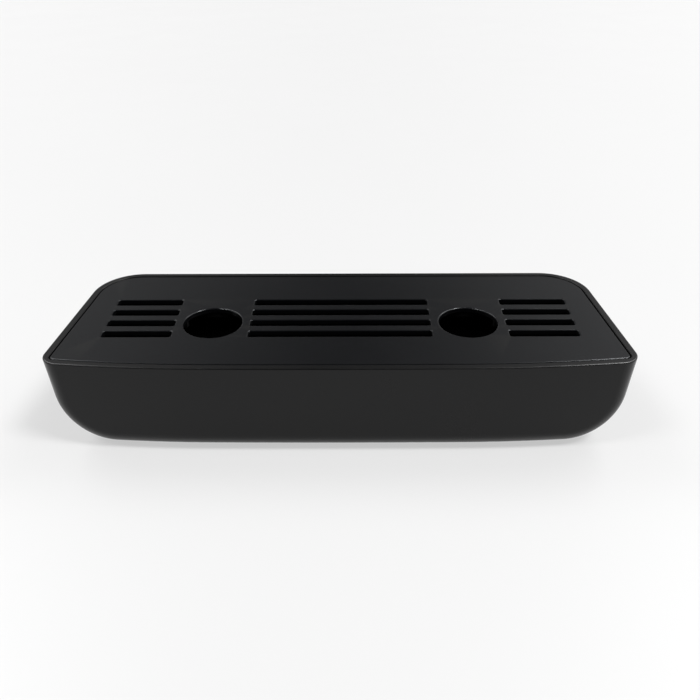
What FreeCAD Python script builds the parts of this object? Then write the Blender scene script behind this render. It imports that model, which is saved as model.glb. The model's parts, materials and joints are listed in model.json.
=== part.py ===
"""Bar drip tray with an inlaid slotted grille plate.

A moulded tray with rounded lower corners holds a loose flat grille plate, let in flush with
the rim.  The plate rests on soft pads in posts on the tray's floor, and four rubber feet sit
in recesses under it.

Frame: +X to the right, +Y to the straight far edge, +Z up.  The near edge is bowed and faces
-Y.  The origin is the centre of the footprint, on the surface that the tray stands on.
Lengths are in millimetres and angles in degrees.
"""
import FreeCAD, Part
import math
import os

Vector = FreeCAD.Vector

# Tray, outside
HEIGHT = 50.0            # standing surface to rim
DEPTH = 101.0            # crown of the near edge to the far edge, at the rim
HALF_WIDTH = 144.8       # centre line to the side line where it meets the near edge
SIDE_TAPER = 5.8         # sides close in towards the far edge
SIDE_DRAFT = 5.1
NEAR_DRAFT = 1.0
FAR_DRAFT = 3.0
BOW_RADIUS = 6400.0      # middle of the near edge
BOW_END_RADIUS = 675.0   # its two ends
BOW_BLEND = 63.5         # distance from the centre line where the two radii meet
LOWER_ROUND = 30.0       # where the sides turn under into the floor
NEAR_ROUND = 8.8         # perimeter of the near face
FAR_ROUND = 24.7         # perimeter of the far face
RIM_ROUND = 0.7
RIM_INNER_ROUND = 0.35

# Tray, inside
WALL = 3.0
LIP = 3.55               # width of the rim beside the plate
INNER_CORNER = 6.7       # the rim's near inner corners and the plate's, at no inset
REBATE_DEPTH = 3.6       # upright stretch of the rim's inner face

# Grille plate
PLATE_GAP = 0.6          # all round, between the rim and the plate
PLATE_THICKNESS = 2.5
PLATE_SUNK = 0.1         # plate's top below the rim
PLATE_ROUND = 0.6        # its outer edge
SLOT_ROUND = 0.6         # top edges of the slots and holes
SLOT_WIDTH = 5.9
SLOT_PITCH = 11.05
SLOT_ROWS = 4
SLOT_FROM_CROWN = 49.5   # crown of the near edge to the middle of the rows
SLOT_CORNER = 1.2
SLOT_ENDS = ((-120.6, -85.4), (-46.6, 46.6), (85.4, 120.6))
HOLE_RADIUS = 15.2
HOLE_X = 66.0
HOLE_FROM_CROWN = 44.2
RIB_WIDTH = 1.6
RIB_DEPTH = 3.0
SKIRT_SETBACK = 1.6      # plate's edge to the locating skirt
SKIRT_DEPTH = 5.5
LEAST_ROUND = 0.6        # smallest upright corner

# Posts, pads and feet
POST_RADIUS = 4.6
POST_FOOT_RADIUS = 5.6
POST_PLACES = ((-124.0, -31.5), (0.0, -36.0), (124.0, -31.5),
               (-119.0, 32.5), (0.0, 37.0), (119.0, 32.5))
GUSSET_WIDTH = 2.0
GUSSET_DROP = 8.0        # post's top to gusset's top
PAD_RADIUS = 4.0
PAD_HEAD = 1.2
PAD_STEM_RADIUS = 2.4
PAD_STEM_DEPTH = 5.0
PAD_ROUND = 0.4
PAD_CLEARANCE = 0.1      # pad to plate
FOOT_PROUD = 1.0
FOOT_RADIUS = 7.0
FOOT_SINK = 1.6
FOOT_ROUND = 0.4
FOOT_GROOVE_RADIUS = 3.6
FOOT_GROOVE = 0.5
FOOT_BOSS_RADIUS = 9.5
FOOT_PLACES = {
    "foot_near_left": (-90.0, -31.0),
    "foot_near_right": (90.0, -31.0),
    "foot_far_left": (-84.0, 15.0),
    "foot_far_right": (84.0, 15.0),
}

# Worked out from the above
CROWN_Y = -DEPTH / 2
FAR_Y = DEPTH / 2
BASE_Z = FOOT_PROUD
FLOOR_Z = BASE_Z + WALL
PLATE_TOP_Z = HEIGHT - PLATE_SUNK
PLATE_UNDER_Z = PLATE_TOP_Z - PLATE_THICKNESS
PLATE_INSET = LIP + PLATE_GAP
PAD_TOP_Z = PLATE_UNDER_Z - PAD_CLEARANCE
POST_TOP_Z = PAD_TOP_Z - PAD_HEAD

# Modelling aids
BEYOND = 10.0            # how far cutting and joining shapes run past what they meet
SPAN = HALF_WIDTH + BEYOND
END_ZONE = 0.8 * FAR_Y   # a face centred further out than this belongs to an end
TOLERANCE = 0.01         # within this, two heights are the same


def slope(angle):
    return math.tan(math.radians(angle))


def prism(edges, travel):
    """Solid swept from a closed flat outline along the vector `travel`."""
    return Part.Face(Part.Wire(edges)).extrude(travel)


def line(start, end):
    return Part.LineSegment(start, end).toShape()


def bow_edges(inset, z):
    """Three tangent arcs of the near edge, from -SPAN to SPAN, moved in by `inset`."""
    blend = math.asin(BOW_BLEND / BOW_RADIUS)
    middle = Vector(0, CROWN_Y + BOW_RADIUS, z)
    shift = BOW_RADIUS - BOW_END_RADIUS
    end_radius = BOW_END_RADIUS - inset

    def on_arc(centre, radius, angle):
        return centre + Vector(math.sin(angle), -math.cos(angle), 0) * radius

    def end_arc(side):
        centre = middle + Vector(side * math.sin(blend), -math.cos(blend), 0) * shift
        last = math.asin((SPAN - abs(centre.x)) / end_radius)
        angles = sorted([side * blend, side * (blend + last) / 2, side * last])
        return Part.Arc(*[on_arc(centre, end_radius, a) for a in angles]).toShape()

    points = [on_arc(middle, BOW_RADIUS - inset, a) for a in (-blend, 0, blend)]
    return [end_arc(-1), Part.Arc(*points).toShape(), end_arc(1)]


def corner_y():
    """Where the side line meets the near edge, before the corner is rounded."""
    blend = math.asin(BOW_BLEND / BOW_RADIUS)
    shift = BOW_RADIUS - BOW_END_RADIUS
    centre_x = math.sin(blend) * shift
    centre_y = CROWN_Y + BOW_RADIUS - math.cos(blend) * shift
    return centre_y - math.sqrt(BOW_END_RADIUS ** 2 - (HALF_WIDTH - centre_x) ** 2)


def behind_bow(inset, low_z, high_z, draft):
    """Everything on the far side of the near face, which leans in downwards by `draft`."""
    height = high_z - low_z
    edges = bow_edges(inset, high_z)
    lead = Vector(0, (HEIGHT - high_z) * slope(draft), 0)
    left = edges[0].firstVertex().Point
    right = edges[-1].lastVertex().Point
    far = FAR_Y + BEYOND
    far_left = Vector(left.x, far, high_z)
    far_right = Vector(right.x, far, high_z)
    edges += [line(right, far_right), line(far_right, far_left), line(far_left, left)]
    block = prism(edges, Vector(0, height * slope(draft), -height))
    block.translate(lead)
    return block


def before_far_face(inset, low_z, high_z, draft):
    """Everything on the near side of the far face, which leans in downwards by `draft`."""
    def face_y(z):
        return FAR_Y - inset - (HEIGHT - z) * slope(draft)

    near = CROWN_Y - BEYOND
    corners = [Vector(-SPAN, near, low_z), Vector(-SPAN, face_y(low_z), low_z),
               Vector(-SPAN, face_y(high_z), high_z), Vector(-SPAN, near, high_z)]
    return prism(Part.makePolygon(corners + corners[:1]).Edges, Vector(2 * SPAN, 0, 0))


def between_sides(outline, start_y):
    """Sweeps the right half of a cross-section along the tapering side, and mirrors it."""
    length = FAR_Y + BEYOND - start_y
    half = prism(outline, Vector(-slope(SIDE_TAPER) * length, length, 0))
    return half.fuse(half.mirror(Vector(), Vector(1, 0, 0))).removeSplitter()


def side_x(inset, y):
    """Distance from the centre line to the side line at the rim, moved in by `inset`."""
    taper = math.radians(SIDE_TAPER)
    return HALF_WIDTH - (y - corner_y()) * math.tan(taper) - inset / math.cos(taper)


def channel(inset, low_z, high_z):
    """Drafted sides that turn through a large round into the floor."""
    start_y = CROWN_Y - BEYOND
    draft = math.radians(SIDE_DRAFT)
    rim_x = side_x(inset / math.cos(draft), start_y)
    radius = LOWER_ROUND - inset
    reach = radius * math.tan((math.pi / 2 - draft) / 2)
    corner = Vector(rim_x - (HEIGHT - low_z) * slope(SIDE_DRAFT), start_y, low_z)
    top = Vector(rim_x - (HEIGHT - high_z) * slope(SIDE_DRAFT), start_y, high_z)
    on_wall = corner + Vector(math.sin(draft), 0, math.cos(draft)) * reach
    on_floor = corner - Vector(reach, 0, 0)
    centre = on_floor + Vector(0, 0, radius)
    half_way = centre + (corner - centre).normalize() * radius
    inner_low = Vector(-BEYOND, start_y, low_z)
    inner_high = Vector(-BEYOND, start_y, high_z)
    outline = [line(inner_high, top), line(top, on_wall),
               Part.Arc(on_wall, half_way, on_floor).toShape(),
               line(on_floor, inner_low), line(inner_low, inner_high)]
    return between_sides(outline, start_y)


def perimeter(solid, end, high_z):
    """Edges round the solid's near (-1) or far (1) face, without those at its top."""
    faces = [f for f in solid.Faces if end * f.CenterOfMass.y > END_ZONE]
    edges = [e for f in faces for e in f.Edges]
    outer = [e for e in edges if sum(e.isSame(other) for other in edges) == 1]
    return [e for e in outer if e.CenterOfMass.z < high_z - TOLERANCE]


def tub(inset, low_z, high_z):
    """Rounded block whose faces lie `inset` inside the tray's outer faces."""
    near_inset = inset / math.cos(math.radians(NEAR_DRAFT))
    far_inset = inset / math.cos(math.radians(FAR_DRAFT))
    solid = channel(inset, low_z, high_z)
    solid = solid.common(behind_bow(near_inset, low_z, high_z, NEAR_DRAFT))
    solid = solid.common(before_far_face(far_inset, low_z, high_z, FAR_DRAFT))
    solid = solid.makeFillet(FAR_ROUND - inset, perimeter(solid, 1, high_z))
    return solid.makeFillet(NEAR_ROUND - inset, perimeter(solid, -1, high_z))


def upright(inset, low_z, high_z):
    """Straight-sided block with the rim's outline moved in by `inset`."""
    start_y = CROWN_Y - BEYOND
    corners = [Vector(-BEYOND, start_y, low_z), Vector(side_x(inset, start_y), start_y, low_z),
               Vector(side_x(inset, start_y), start_y, high_z), Vector(-BEYOND, start_y, high_z)]
    solid = between_sides(Part.makePolygon(corners + corners[:1]).Edges, start_y)
    solid = solid.common(behind_bow(inset, low_z, high_z, 0))
    solid = solid.common(before_far_face(inset, low_z, high_z, 0))

    def corners_at(end):
        return [e for e in solid.Edges if abs(e.CenterOfMass.x) > HALF_WIDTH / 2
                and end * e.CenterOfMass.y > FAR_Y / 2
                and abs(e.CenterOfMass.z - (low_z + high_z) / 2) < TOLERANCE]

    solid = solid.makeFillet(FAR_ROUND - inset, corners_at(1))
    return solid.makeFillet(max(INNER_CORNER - inset, LEAST_ROUND), corners_at(-1))


def cylinder(radius, low_z, high_z, place):
    return Part.makeCylinder(radius, high_z - low_z, Vector(place[0], place[1], low_z))


def edges_at(solid, z, keep=lambda edge: True):
    """Edges that lie in the plane at height z."""
    def flat(edge):
        box = edge.BoundBox
        return abs(box.ZMin - z) < TOLERANCE and abs(box.ZMax - z) < TOLERANCE

    return [e for e in solid.Edges if flat(e) and keep(e)]


def post(place):
    """Tapered post with a gusset that ties it to the nearest near or far wall."""
    base = Vector(place[0], place[1], BASE_Z)
    cone = Part.makeCone(POST_FOOT_RADIUS, POST_RADIUS, POST_TOP_Z - BASE_Z, base)
    wall_y = FAR_Y if place[1] > 0 else CROWN_Y
    gusset = Part.makeBox(GUSSET_WIDTH, abs(wall_y - place[1]), POST_TOP_Z - GUSSET_DROP - BASE_Z,
                          Vector(place[0] - GUSSET_WIDTH / 2, min(wall_y, place[1]), BASE_Z))
    return cone.fuse(gusset)


def inner_rim_edges(tray):
    """Top edges of the rim's inner face, which lie more than half a lip inside the outline."""
    middle_of_lip = upright(LIP / 2, HEIGHT - REBATE_DEPTH, HEIGHT)
    return [e for e in edges_at(tray, HEIGHT)
            if middle_of_lip.isInside(e.valueAt(e.FirstParameter), TOLERANCE, True)]


def tray_body():
    outside = tub(0, BASE_Z, HEIGHT)
    rim_edges = edges_at(outside, HEIGHT)
    ledge_z = HEIGHT - REBATE_DEPTH
    inside = tub(WALL, FLOOR_Z, ledge_z).fuse(upright(LIP, ledge_z, HEIGHT + BEYOND))
    bosses = [cylinder(FOOT_BOSS_RADIUS, BASE_Z, FLOOR_Z + FOOT_SINK, p)
              for p in FOOT_PLACES.values()]
    inner_parts = [post(p).common(outside) for p in POST_PLACES] + bosses
    rounded = outside.makeFillet(RIM_ROUND, rim_edges)
    tray = rounded.cut(inside).fuse(inner_parts).removeSplitter()
    stems = [cylinder(PAD_STEM_RADIUS, POST_TOP_Z - PAD_STEM_DEPTH, POST_TOP_Z + BEYOND, p)
             for p in POST_PLACES]
    recesses = [cylinder(FOOT_RADIUS, BASE_Z - BEYOND, BASE_Z + FOOT_SINK, p)
                for p in FOOT_PLACES.values()]
    tray = tray.cut(stems + recesses)
    return tray.makeFillet(RIM_INNER_ROUND, inner_rim_edges(tray))


def slot(x_low, x_high, y):
    block = Part.makeBox(x_high - x_low, SLOT_WIDTH, PLATE_THICKNESS + 2 * BEYOND,
                         Vector(x_low, y - SLOT_WIDTH / 2, PLATE_UNDER_Z - BEYOND))
    corners = [e for e in block.Edges if e.BoundBox.ZLength > PLATE_THICKNESS]
    return block.makeFillet(SLOT_CORNER, corners)


def row_places():
    middle = CROWN_Y + SLOT_FROM_CROWN
    return [middle + (k - (SLOT_ROWS - 1) / 2) * SLOT_PITCH for k in range(SLOT_ROWS)]


def stiffeners():
    """Ribs under the bars between the slots, and outside the first and last rows."""
    rows = row_places()
    lines = [rows[0] - SLOT_PITCH / 2] + [y + SLOT_PITCH / 2 for y in rows]
    low_z = PLATE_UNDER_Z - RIB_DEPTH
    half = SLOT_ENDS[-1][1] + SLOT_CORNER
    return [Part.makeBox(2 * half, RIB_WIDTH, RIB_DEPTH, Vector(-half, y - RIB_WIDTH / 2, low_z))
            for y in lines]


def in_slot_field(edge):
    """True for the edges of the slots and finger holes, as opposed to the plate's outline."""
    centre = edge.CenterOfMass
    return abs(centre.x) < SLOT_ENDS[-1][1] + SLOT_CORNER and abs(centre.y) < FAR_Y / 2


def grille_plate():
    panel = upright(PLATE_INSET, PLATE_UNDER_Z, PLATE_TOP_Z)
    skirt_inset = PLATE_INSET + SKIRT_SETBACK
    skirt_low = PLATE_UNDER_Z - SKIRT_DEPTH
    skirt = upright(skirt_inset, skirt_low, PLATE_UNDER_Z)
    skirt = skirt.cut(upright(skirt_inset + RIB_WIDTH, skirt_low, PLATE_UNDER_Z))
    plate = panel.fuse([skirt] + stiffeners()).removeSplitter()
    plate = plate.makeFillet(PLATE_ROUND, edges_at(plate, PLATE_TOP_Z))
    slots = [slot(low, high, y) for low, high in SLOT_ENDS for y in row_places()]
    holes = [cylinder(HOLE_RADIUS, PLATE_UNDER_Z - BEYOND, HEIGHT, (x, CROWN_Y + HOLE_FROM_CROWN))
             for x in (-HOLE_X, HOLE_X)]
    plate = plate.cut(slots + holes)
    return plate.makeFillet(SLOT_ROUND, edges_at(plate, PLATE_TOP_Z, in_slot_field))


def plate_pad(place):
    """Soft plug: a stem in the post's bore and a flat head that carries the plate."""
    head = cylinder(PAD_RADIUS, POST_TOP_Z, PAD_TOP_Z, place)
    head = head.makeFillet(PAD_ROUND, edges_at(head, PAD_TOP_Z))
    return head.fuse(cylinder(PAD_STEM_RADIUS, POST_TOP_Z - PAD_STEM_DEPTH, POST_TOP_Z, place))


def foot(place):
    """Rubber disc with a rounded lower edge and a ring groove in its face."""
    disc = cylinder(FOOT_RADIUS, 0, BASE_Z + FOOT_SINK, place)
    disc = disc.makeFillet(FOOT_ROUND, edges_at(disc, 0))
    ring = Part.makeTorus(FOOT_GROOVE_RADIUS, FOOT_GROOVE, Vector(place[0], place[1], 0))
    return disc.cut(ring)


def export(name, shape):
    solid = shape.Solids[0]
    if len(shape.Solids) != 1 or not solid.isValid():
        raise ValueError(f"{name} is not one valid solid")
    solid.exportStep(f"parts/{name}.step")
    box = solid.BoundBox
    print(f"{name}: {solid.Volume / 1000:.1f} cm3, x {box.XMin:.2f} {box.XMax:.2f}, "
          f"y {box.YMin:.2f} {box.YMax:.2f}, z {box.ZMin:.2f} {box.ZMax:.2f}")


def main():
    os.makedirs("parts", exist_ok=True)
    export("tray_body", tray_body())
    export("grille_plate", grille_plate())
    names = ["near_left", "near_middle", "near_right", "far_left", "far_middle", "far_right"]
    for name, place in zip(names, POST_PLACES):
        export(f"plate_pad_{name}", plate_pad(place))
    for name, place in FOOT_PLACES.items():
        export(name, foot(place))


main()
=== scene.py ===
"""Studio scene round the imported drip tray: materials, floor, light and camera.

Lengths are in metres, in the model's own frame: +X to the right along the tray, +Y to its
straight far edge, +Z up from the surface that it stands on.
"""
import json
import math
import bpy
from mathutils import Matrix, Vector

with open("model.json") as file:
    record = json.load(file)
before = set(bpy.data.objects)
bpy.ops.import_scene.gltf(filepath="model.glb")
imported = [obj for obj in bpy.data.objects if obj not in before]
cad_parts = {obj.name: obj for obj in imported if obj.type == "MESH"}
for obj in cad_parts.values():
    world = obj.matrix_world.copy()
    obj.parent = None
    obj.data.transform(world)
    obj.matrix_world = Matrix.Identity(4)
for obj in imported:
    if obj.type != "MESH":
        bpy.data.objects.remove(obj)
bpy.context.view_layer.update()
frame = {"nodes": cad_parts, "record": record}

# Camera, with its turns in degrees
CAMERA_PLACE = (0.00742, -0.36486, 0.2562)
CAMERA_PITCH = 31.8955       # below the horizontal
CAMERA_YAW = -0.4038         # from +Y towards +X
CAMERA_ROLL = -0.3363
CAMERA_LENS = 41.14          # millimetres, as the sensor's width is
SENSOR_WIDTH = 36

# Surroundings: a dim room with a bright side to the left and to the right, darker on the near
# side, and pale at the horizon.  Directions are places on the unit sphere.
ROOM_LIGHT = 0.12
LEFT_LIGHT = 1.85
RIGHT_LIGHT = 2.75
SIDE_SHARPNESS = 1.2         # how fast the light falls off away from due left or right
LOW_LIGHT = 0.1              # share of the side light that is left at the horizon
FULL_LIGHT_RISE = 0.8        # z where the side light is full
DARK_FROM = -0.05            # y where the light starts to fall towards the near side,
DARK_TO = -0.5               # and where it is down to its least share
DARK_SHARE = 0.1
HORIZON_LIGHT = 0.85         # the pale sweep goes on behind the floor's edge
HORIZON_TOP = 0.06           # z up to which it is full, and where it has faded out
HORIZON_END = 0.20

# Soft lamps far away, two on each side: the way towards each, its spread in degrees, its strength
RIGHT_LAMP = ((0.50, -0.20, 0.84), 16.0, 3.40)
RIGHT_BACK_LAMP = ((0.50, 0.45, 0.75), 30.0, 1.10)
LEFT_LAMP = ((-0.55, -0.20, 0.81), 16.0, 1.30)
LEFT_BACK_LAMP = ((-0.54, 0.45, 0.71), 26.0, 0.95)

# Floor
FLOOR_HALF_WIDTH = 6.0
FLOOR_DROP = 0.0002          # keeps the floor's face clear of the feet's
FLOOR_COLOUR = (0.175, 0.175, 0.175)
FLOOR_GLOW = 0.53            # the sweep is lit from below too, which softens the shadows
FLOOR_GLOSS = 0.25
FLOOR_BLOTCHES = 6.0         # in a metre
FLOOR_ROUGHNESS = (0.32, 0.38)

# Spans of the noise's value that are stretched to a full swing, for a soft and a sharper change
SOFT_SPAN = (0.3, 0.7)
SHARP_SPAN = (0.35, 0.65)

# Wear of the moulded surfaces
SMUDGES = {"scale": 22.0, "detail": 4.0, "roughness": 0.55}
SMUDGE_SWING = 0.03          # of the roughness, up and down
SPECKLE = {"scale": 700.0, "detail": 2.0}
SPECKLE_SHADES = (0.88, 1.12)
GRAIN_DETAIL = 2.0
EDGE_SPAN = (0.53, 0.62)     # pointiness where rubbing starts, and where it is full
LEAST_RUBBED = 0.4           # share of the rubbing that is left where there are no smudges
RUBBED_POLISH = 0.05         # roughness that full rubbing takes away

WHITE = (1, 1, 1)

# Finish of each material slot, as moulded() takes it
FINISHES = {
    "tray_plastic": {
        "name": "tray_satin_black", "colour": (0.0022, 0.0022, 0.0023),
        "worn_colour": (0.005, 0.005, 0.005), "roughness": 0.25, "ior": 1.46, "gloss": 0.30,
        "grain": 3200.0, "grain_height": 0.000004},
    "grille_plastic": {
        "name": "grille_satin_black", "colour": (0.0020, 0.0021, 0.0025),
        "worn_colour": (0.005, 0.005, 0.005), "roughness": 0.22, "ior": 1.46, "gloss": 0.30,
        "grain": 3600.0, "grain_height": 0.000004, "sheen": (0.94, 0.97, 1.0)},
    "pad_silicone": {
        "name": "pad_silicone", "colour": (0.045, 0.045, 0.048),
        "worn_colour": (0.06, 0.06, 0.06), "roughness": 0.6, "ior": 1.41, "gloss": 0.5,
        "grain": 2400.0, "grain_height": 0.000008},
    "foot_rubber": {
        "name": "foot_rubber", "colour": (0.014, 0.014, 0.014),
        "worn_colour": (0.03, 0.03, 0.03), "roughness": 0.7, "ior": 1.50, "gloss": 0.4,
        "grain": 2000.0, "grain_height": 0.000012},
}


class Nodes:
    """Short way to add and link the nodes of a material or a world."""

    def __init__(self, owner):
        owner.use_nodes = True
        self.tree = owner.node_tree

    def get(self, name):
        return self.tree.nodes[name]

    def add(self, kind, inputs=None, **settings):
        node = self.tree.nodes.new(kind)
        for key, value in settings.items():
            setattr(node, key, value)
        for key, value in (inputs or {}).items():
            self.feed(node.inputs[key], value)
        return node

    def feed(self, socket, value):
        if isinstance(value, bpy.types.NodeSocket):
            self.tree.links.new(value, socket)
        else:
            socket.default_value = value

    def maths(self, operation, *values):
        inputs = dict(enumerate(values))
        return self.add("ShaderNodeMath", inputs, operation=operation).outputs[0]

    def spread(self, value, low, high, to_low=0.0, to_high=1.0):
        """Maps low..high to to_low..to_high, and holds the ends."""
        inputs = {"Value": value, "From Min": low, "From Max": high,
                  "To Min": to_low, "To Max": to_high}
        return self.add("ShaderNodeMapRange", inputs).outputs["Result"]

    def noise(self, place, scale, detail=3.0, roughness=0.5):
        inputs = {"Vector": place, "Scale": scale, "Detail": detail, "Roughness": roughness}
        return self.add("ShaderNodeTexNoise", inputs).outputs["Fac"]


def make_camera():
    pitch, yaw, roll = (math.radians(a) for a in (CAMERA_PITCH, CAMERA_YAW, CAMERA_ROLL))
    heading = Vector((math.sin(yaw), math.cos(yaw), 0))
    forward = heading * math.cos(pitch) - Vector((0, 0, math.sin(pitch)))
    level = Vector((math.cos(yaw), -math.sin(yaw), 0))
    rise = level.cross(forward)
    right = level * math.cos(roll) + rise * math.sin(roll)
    up = rise * math.cos(roll) - level * math.sin(roll)
    data = bpy.data.cameras.new("camera")
    data.lens = CAMERA_LENS
    data.sensor_width = SENSOR_WIDTH
    camera = bpy.data.objects.new("camera", data)
    turn = Matrix((right, up, -forward)).transposed().to_4x4()
    camera.matrix_world = Matrix.Translation(CAMERA_PLACE) @ turn
    bpy.context.scene.collection.objects.link(camera)
    bpy.context.scene.camera = camera


def make_surroundings():
    world = bpy.data.worlds.new("surroundings")
    nodes = Nodes(world)
    direction = nodes.add("ShaderNodeTexCoord").outputs["Generated"]
    parts = nodes.add("ShaderNodeSeparateXYZ", {"Vector": direction}).outputs
    across = parts["X"]
    to_right = nodes.maths("POWER", nodes.maths("MAXIMUM", across, 0.0), SIDE_SHARPNESS)
    opposite = nodes.maths("MULTIPLY", across, -1.0)
    to_left = nodes.maths("POWER", nodes.maths("MAXIMUM", opposite, 0.0), SIDE_SHARPNESS)
    right = nodes.maths("MULTIPLY", to_right, RIGHT_LIGHT)
    left = nodes.maths("MULTIPLY", to_left, LEFT_LIGHT)
    lift = nodes.spread(parts["Z"], 0.0, FULL_LIGHT_RISE, LOW_LIGHT, 1.0)
    sides = nodes.maths("MULTIPLY", nodes.maths("ADD", right, left), lift)
    near_side = nodes.spread(parts["Y"], DARK_TO, DARK_FROM, DARK_SHARE, 1.0)
    room = nodes.maths("MULTIPLY", nodes.maths("ADD", sides, ROOM_LIGHT), near_side)
    horizon = nodes.spread(parts["Z"], HORIZON_TOP, HORIZON_END, HORIZON_LIGHT, 0.0)
    nodes.feed(nodes.get("Background").inputs["Strength"], nodes.maths("MAXIMUM", room, horizon))
    nodes.get("Background").inputs["Color"].default_value = (*WHITE, 1)
    bpy.context.scene.world = world
    bpy.context.scene.view_settings.view_transform = "Standard"


def make_lamp(name, direction, spread, strength):
    data = bpy.data.lights.new(name, "SUN")
    data.angle = math.radians(spread)
    data.energy = strength
    lamp = bpy.data.objects.new(name, data)
    lamp.rotation_euler = Vector(direction).to_track_quat("Z", "Y").to_euler()
    bpy.context.scene.collection.objects.link(lamp)


def floor_material():
    material = bpy.data.materials.new("floor_white")
    nodes = Nodes(material)
    shader = nodes.get("Principled BSDF")
    shader.inputs["Base Color"].default_value = (*FLOOR_COLOUR, 1)
    shader.inputs["Specular IOR Level"].default_value = FLOOR_GLOSS
    shader.inputs["Emission Color"].default_value = (*WHITE, 1)
    shader.inputs["Emission Strength"].default_value = FLOOR_GLOW
    place = nodes.add("ShaderNodeTexCoord").outputs["Object"]
    blotches = nodes.noise(place, FLOOR_BLOTCHES)
    nodes.feed(shader.inputs["Roughness"], nodes.spread(blotches, *SOFT_SPAN, *FLOOR_ROUGHNESS))
    return material


def make_floor():
    half = FLOOR_HALF_WIDTH
    turns = ((-1, -1), (1, -1), (1, 1), (-1, 1))
    corners = [(x * half, y * half, -FLOOR_DROP) for x, y in turns]
    mesh = bpy.data.meshes.new("floor")
    mesh.from_pydata(corners, [], [(0, 1, 2, 3)])
    mesh.materials.append(floor_material())
    floor = bpy.data.objects.new("floor", mesh)
    bpy.context.scene.collection.objects.link(floor)


def moulded(name, colour, worn_colour, roughness, ior, gloss, grain, grain_height, sheen=WHITE):
    """Satin moulded surface: fine grain, faint smudges, and rubbed edges.

    `gloss` is the specular level, where 0.5 is what the refractive index alone gives, and
    `sheen` its tint.  `grain` is how many grains fit in a metre, and `grain_height` how far
    they stand out.
    """
    material = bpy.data.materials.new(name)
    nodes = Nodes(material)
    shader = nodes.get("Principled BSDF")
    place = nodes.add("ShaderNodeTexCoord").outputs["Object"]
    smudges = nodes.noise(place, **SMUDGES)
    speckle = nodes.noise(place, **SPECKLE)
    edge = nodes.add("ShaderNodeNewGeometry").outputs["Pointiness"]
    rubbed = nodes.maths("MULTIPLY", nodes.spread(edge, *EDGE_SPAN),
                         nodes.spread(smudges, *SHARP_SPAN, LEAST_RUBBED, 1.0))
    tint = nodes.add("ShaderNodeMix", data_type="RGBA")
    nodes.feed(tint.inputs["Factor"], rubbed)
    nodes.feed(tint.inputs["A"], (*colour, 1))
    nodes.feed(tint.inputs["B"], (*worn_colour, 1))
    shade = nodes.add("ShaderNodeHueSaturation", {"Color": tint.outputs["Result"]})
    nodes.feed(shade.inputs["Value"], nodes.spread(speckle, *SHARP_SPAN, *SPECKLE_SHADES))
    nodes.feed(shader.inputs["Base Color"], shade.outputs["Color"])
    uneven = nodes.spread(smudges, *SOFT_SPAN, roughness - SMUDGE_SWING, roughness + SMUDGE_SWING)
    polish = nodes.maths("MULTIPLY", rubbed, RUBBED_POLISH)
    nodes.feed(shader.inputs["Roughness"], nodes.maths("SUBTRACT", uneven, polish))
    shader.inputs["IOR"].default_value = ior
    shader.inputs["Specular IOR Level"].default_value = gloss
    shader.inputs["Specular Tint"].default_value = (*sheen, 1)
    grains = nodes.noise(place, grain, GRAIN_DETAIL)
    bump = nodes.add("ShaderNodeBump", {"Height": grains, "Distance": grain_height})
    nodes.feed(shader.inputs["Normal"], bump.outputs["Normal"])
    return material


def finish_nodes():
    """Gives every CAD node the material of its slot in the record."""
    materials = {slot: moulded(**finish) for slot, finish in FINISHES.items()}
    slots = {part["node"]: part["material_slot"] for part in frame["record"]["subparts"]}
    for name, node in frame["nodes"].items():
        node.data.materials.clear()
        node.data.materials.append(materials[slots[name]])


make_camera()
make_surroundings()
make_lamp("right_lamp", *RIGHT_LAMP)
make_lamp("right_back_lamp", *RIGHT_BACK_LAMP)
make_lamp("left_lamp", *LEFT_LAMP)
make_lamp("left_back_lamp", *LEFT_BACK_LAMP)
make_floor()
finish_nodes()
